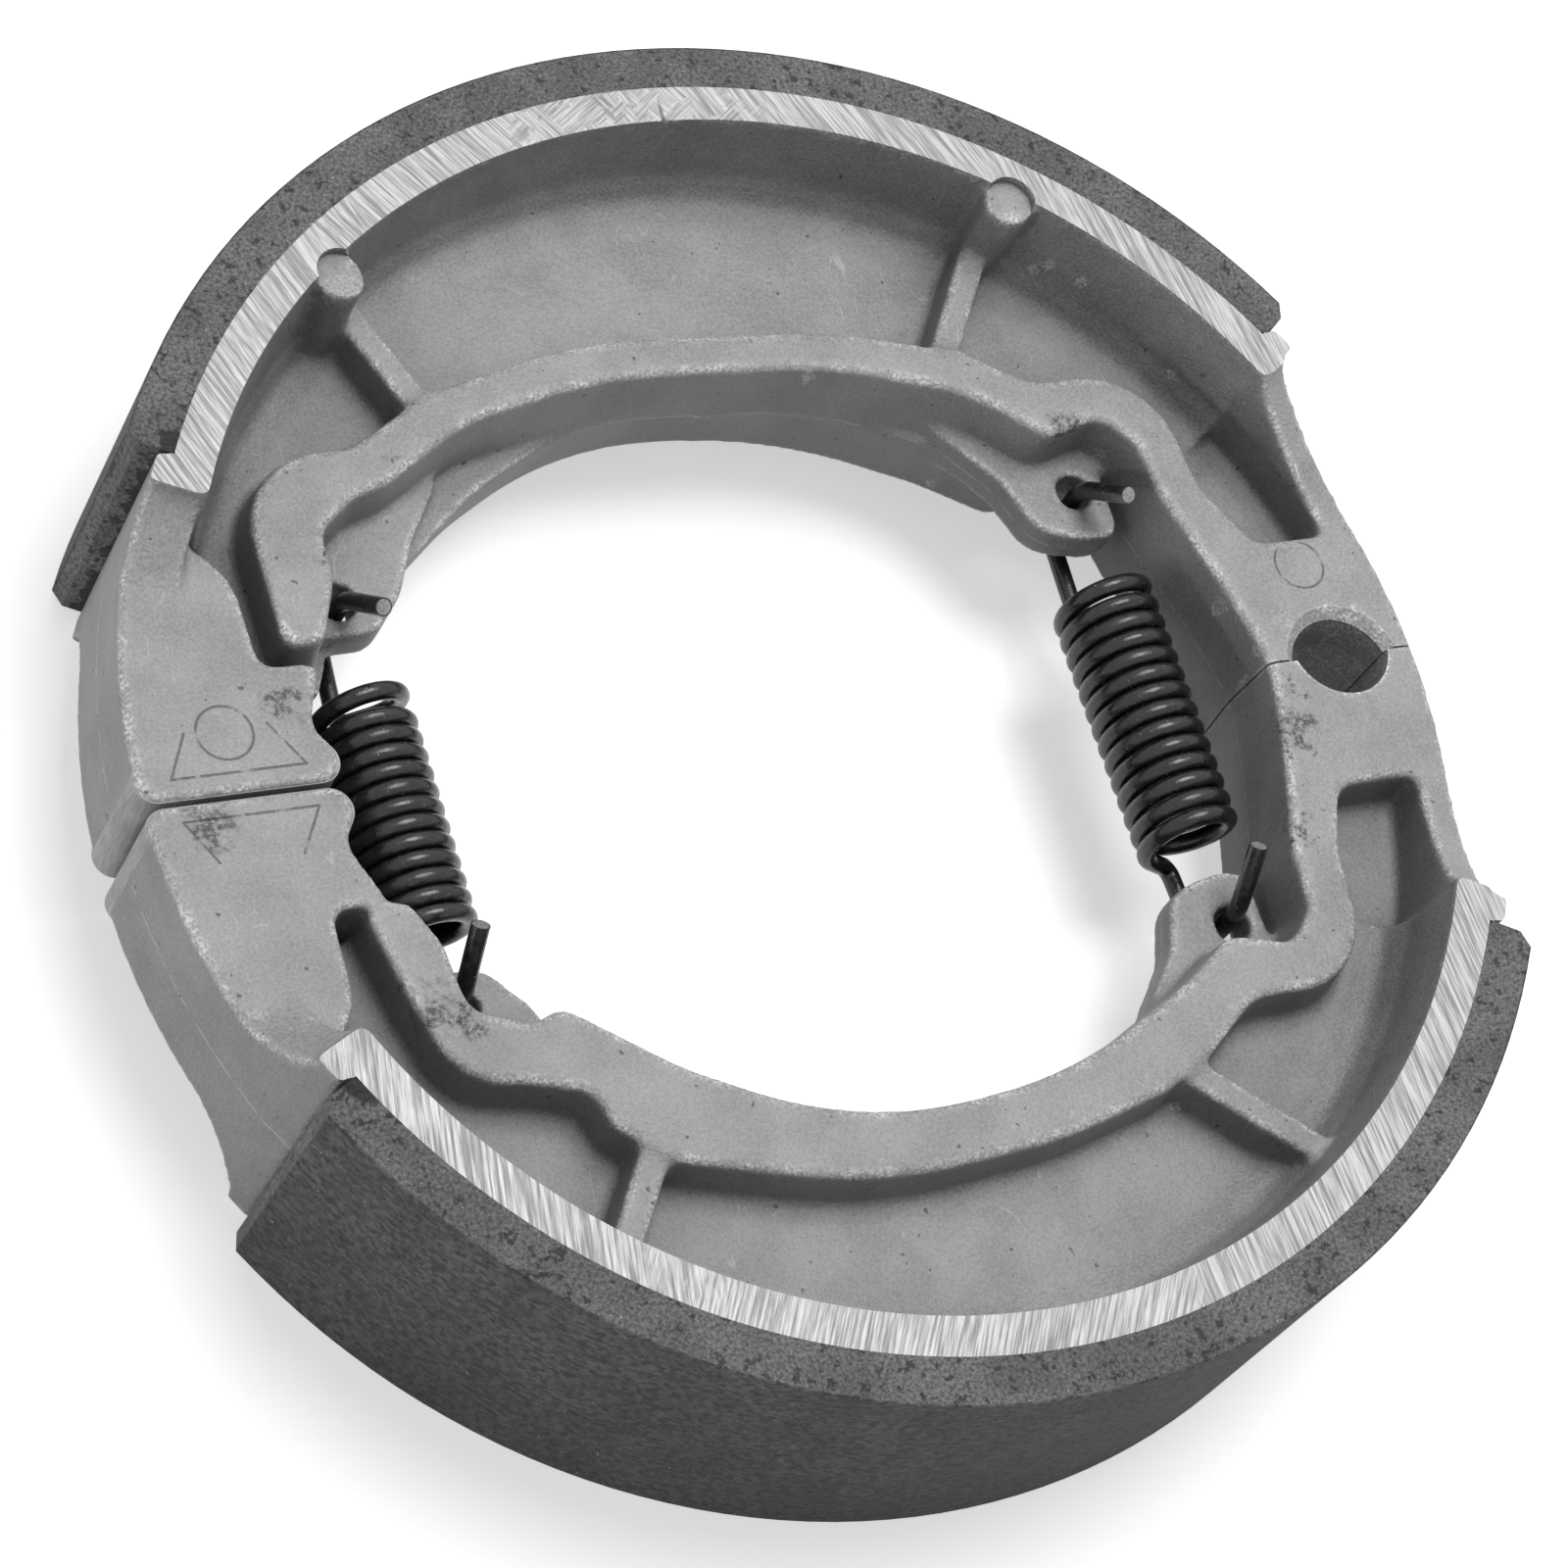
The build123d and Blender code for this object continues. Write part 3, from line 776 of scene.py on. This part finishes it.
def wireTree(material):
    tree = bpy.data.node_groups.new("springWire", "GeometryNodeTree")
    tree.interface.new_socket("Path", in_out="INPUT", socket_type="NodeSocketGeometry")
    for label, kind, value in (("Wire Radius", "NodeSocketFloat", 0.001),
                               ("Wire Sides", "NodeSocketInt", 12)):
        socket = tree.interface.new_socket(label, in_out="INPUT", socket_type=kind)
        socket.default_value = value
    tree.interface.new_socket("Wire", in_out="OUTPUT", socket_type="NodeSocketGeometry")
    nodes, links = tree.nodes, tree.links
    given = nodes.new("NodeGroupInput")
    ring = nodes.new("GeometryNodeCurvePrimitiveCircle")
    sweep = nodes.new("GeometryNodeCurveToMesh")
    sweep.inputs["Fill Caps"].default_value = True
    shade = nodes.new("GeometryNodeSetShadeSmooth")
    realize = nodes.new("GeometryNodeRealizeInstances")
    paint = nodes.new("GeometryNodeSetMaterial")
    paint.inputs["Material"].default_value = material
    result = nodes.new("NodeGroupOutput")
    links.new(given.outputs["Wire Radius"], ring.inputs["Radius"])
    links.new(given.outputs["Wire Sides"], ring.inputs["Resolution"])
    links.new(given.outputs["Path"], sweep.inputs["Curve"])
    links.new(ring.outputs["Curve"], sweep.inputs["Profile Curve"])
    links.new(sweep.outputs["Mesh"], shade.inputs["Geometry"])
    links.new(shade.outputs["Geometry"], realize.inputs["Geometry"])
    links.new(realize.outputs["Geometry"], paint.inputs["Geometry"])
    links.new(paint.outputs["Geometry"], result.inputs["Wire"])
    return tree


def socketId(tree, label):
    return next(item.identifier for item in tree.interface.items_tree if item.name == label)


def blackPaint():
    v = springValues
    s = Shader("springBlack")
    worn = s.ramp(s.noise(0.8, detail=4), 0.35, 0.7, *v["shade"])
    specks = s.ramp(s.noise(0.35, detail=1), 0.74, 0.78, 0.0, v["speckShade"])
    rough = s.ramp(s.noise(1.6), 0.35, 0.65, *v["roughness"])
    s.bump(s.noise(0.6, detail=4), v["bumpMm"])
    s.body.inputs["Coat Weight"].default_value = v["coat"]
    s.body.inputs["Coat Roughness"].default_value = v["coatRoughness"]
    return s.finish(s.math("ADD", worn, specks), rough)


def cutWire():
    v = springValues
    s = Shader("springCutEnd")
    shade = s.ramp(s.noise(0.25), 0.3, 0.7, *v["cutShade"])
    return s.finish(shade, v["cutRoughness"], v["cutMetallic"])


def makeSpring(name, place, paint, bare):
    v = springValues
    curve = bpy.data.curves.new(name + "_path", "CURVE")
    curve.dimensions = "3D"
    path = springPath(place)
    spline = curve.splines.new("POLY")
    spline.points.add(len(path) - 1)
    for point, at in zip(spline.points, path):
        point.co = (*(at * mm), 1)
    wire = bpy.data.objects.new(name + "_path", curve)
    scene.collection.objects.link(wire)
    tree = wireTree(paint)
    modifier = wire.modifiers.new("wire", "NODES")
    modifier.node_group = tree
    modifier[socketId(tree, "Wire Radius")] = place["wire"] / 2 * mm
    modifier[socketId(tree, "Wire Sides")] = v["wireSides"]
    mesh = asPlainMesh(wire)
    bpy.data.objects.remove(wire)
    work = bmesh.new()
    work.from_mesh(mesh)
    caps = [face for face in work.faces if len(face.verts) > 4]      # the wire's cut ends
    for cap in caps:
        bmesh.ops.inset_region(work, faces=[cap], thickness=v["tipBevel"] * mm, depth=0)
        cap.material_index = 1
        cap.smooth = False
    bmesh.ops.recalc_face_normals(work, faces=work.faces)
    work.to_mesh(mesh)
    work.free()
    mesh.materials.append(bare)
    spring = addObject(name + "_wire", mesh)
    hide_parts(name)
    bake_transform(spring)


paint, bare = blackPaint(), cutWire()
for name, place in springValues["places"].items():
    makeSpring(name, place, paint, bare)
print("springs wound")


# Floor, lamps and white surroundings

stageValues = {
    "floorSize": 3.0,          # in m
    "floorSeen": 0.93,         # as the camera and reflections see it
    "floorGlow": 0.52,
    "floorBounce": 0.45,       # what it throws back on the object
    "worldShade": 0.9,         # as the object is lit by it; it is seen as white
    "worldStrength": 0.29,
    "lamps": [                 # place in m, size in m, watts
        ("overhead", (0.13, 0.14, 0.72), 0.44, 3.6),
        ("left", (-0.60, -0.12, 0.01), 0.10, 1.1),
    ],
}


def seenDirectly(tree):                 # by the camera, in metal or through glass
    path = tree.nodes.new("ShaderNodeLightPath")
    total = path.outputs["Is Camera Ray"]
    for label in ("Is Glossy Ray", "Is Transmission Ray"):
        either = tree.nodes.new("ShaderNodeMath")
        either.operation = "MAXIMUM"
        tree.links.new(total, either.inputs[0])
        tree.links.new(path.outputs[label], either.inputs[1])
        total = either.outputs[0]
    return total


def mixShaders(tree, mask, first, second):
    mix = tree.nodes.new("ShaderNodeMixShader")
    for source, socket in zip((mask, first.outputs[0], second.outputs[0]), mix.inputs):
        tree.links.new(source, socket)
    return mix


def greyNode(tree, kind, shade, strength=None):
    node = tree.nodes.new(kind)
    node.inputs["Color"].default_value = (shade, shade, shade, 1)
    if strength is not None:
        node.inputs["Strength"].default_value = strength
    return node


def makeWorld():
    v = stageValues
    world = bpy.data.worlds.new("paleRoom")
    world.use_nodes = True
    scene.world = world
    tree = world.node_tree
    tree.nodes.remove(tree.nodes["Background"])
    sky = greyNode(tree, "ShaderNodeBackground", v["worldShade"], v["worldStrength"])
    white = greyNode(tree, "ShaderNodeBackground", 1.0, 1.0)
    mixed = mixShaders(tree, seenDirectly(tree), sky, white)
    tree.links.new(mixed.outputs[0], tree.nodes["World Output"].inputs["Surface"])


def makeFloor():
    v = stageValues
    half, low = v["floorSize"] / 2, cadLow.z
    corners = [(-half, -half, low), (half, -half, low), (half, half, low), (-half, half, low)]
    mesh = bpy.data.meshes.new("floor")
    mesh.from_pydata(corners, [], [(0, 1, 2, 3)])
    material = bpy.data.materials.new("paleFloor")
    material.use_nodes = True
    tree = material.node_tree
    tree.nodes.remove(tree.nodes["Principled BSDF"])
    bounce = greyNode(tree, "ShaderNodeBsdfDiffuse", v["floorBounce"])
    paper = greyNode(tree, "ShaderNodeBsdfDiffuse", v["floorSeen"])
    glow = greyNode(tree, "ShaderNodeEmission", 1.0, v["floorGlow"])
    lit = tree.nodes.new("ShaderNodeAddShader")
    tree.links.new(paper.outputs[0], lit.inputs[0])
    tree.links.new(glow.outputs[0], lit.inputs[1])
    mixed = mixShaders(tree, seenDirectly(tree), bounce, lit)
    tree.links.new(mixed.outputs[0], tree.nodes["Material Output"].inputs["Surface"])
    floor = addObject("floor", mesh, [material])


def hangLamp(name, place, size, power):
    lamp = bpy.data.lights.new(name, "AREA")
    lamp.shape = "DISK"
    lamp.size = size
    lamp.energy = power
    obj = bpy.data.objects.new(name, lamp)
    at = Vector(place)
    turn = at.to_track_quat("Z", "Y").to_matrix().to_4x4()    # it faces the origin
    obj.matrix_world = Matrix.Translation(at) @ turn
    scene.collection.objects.link(obj)


makeWorld()
makeFloor()
for values in stageValues["lamps"]:
    hangLamp(*values)
scene.view_settings.view_transform = "Standard"
print("stage lit")
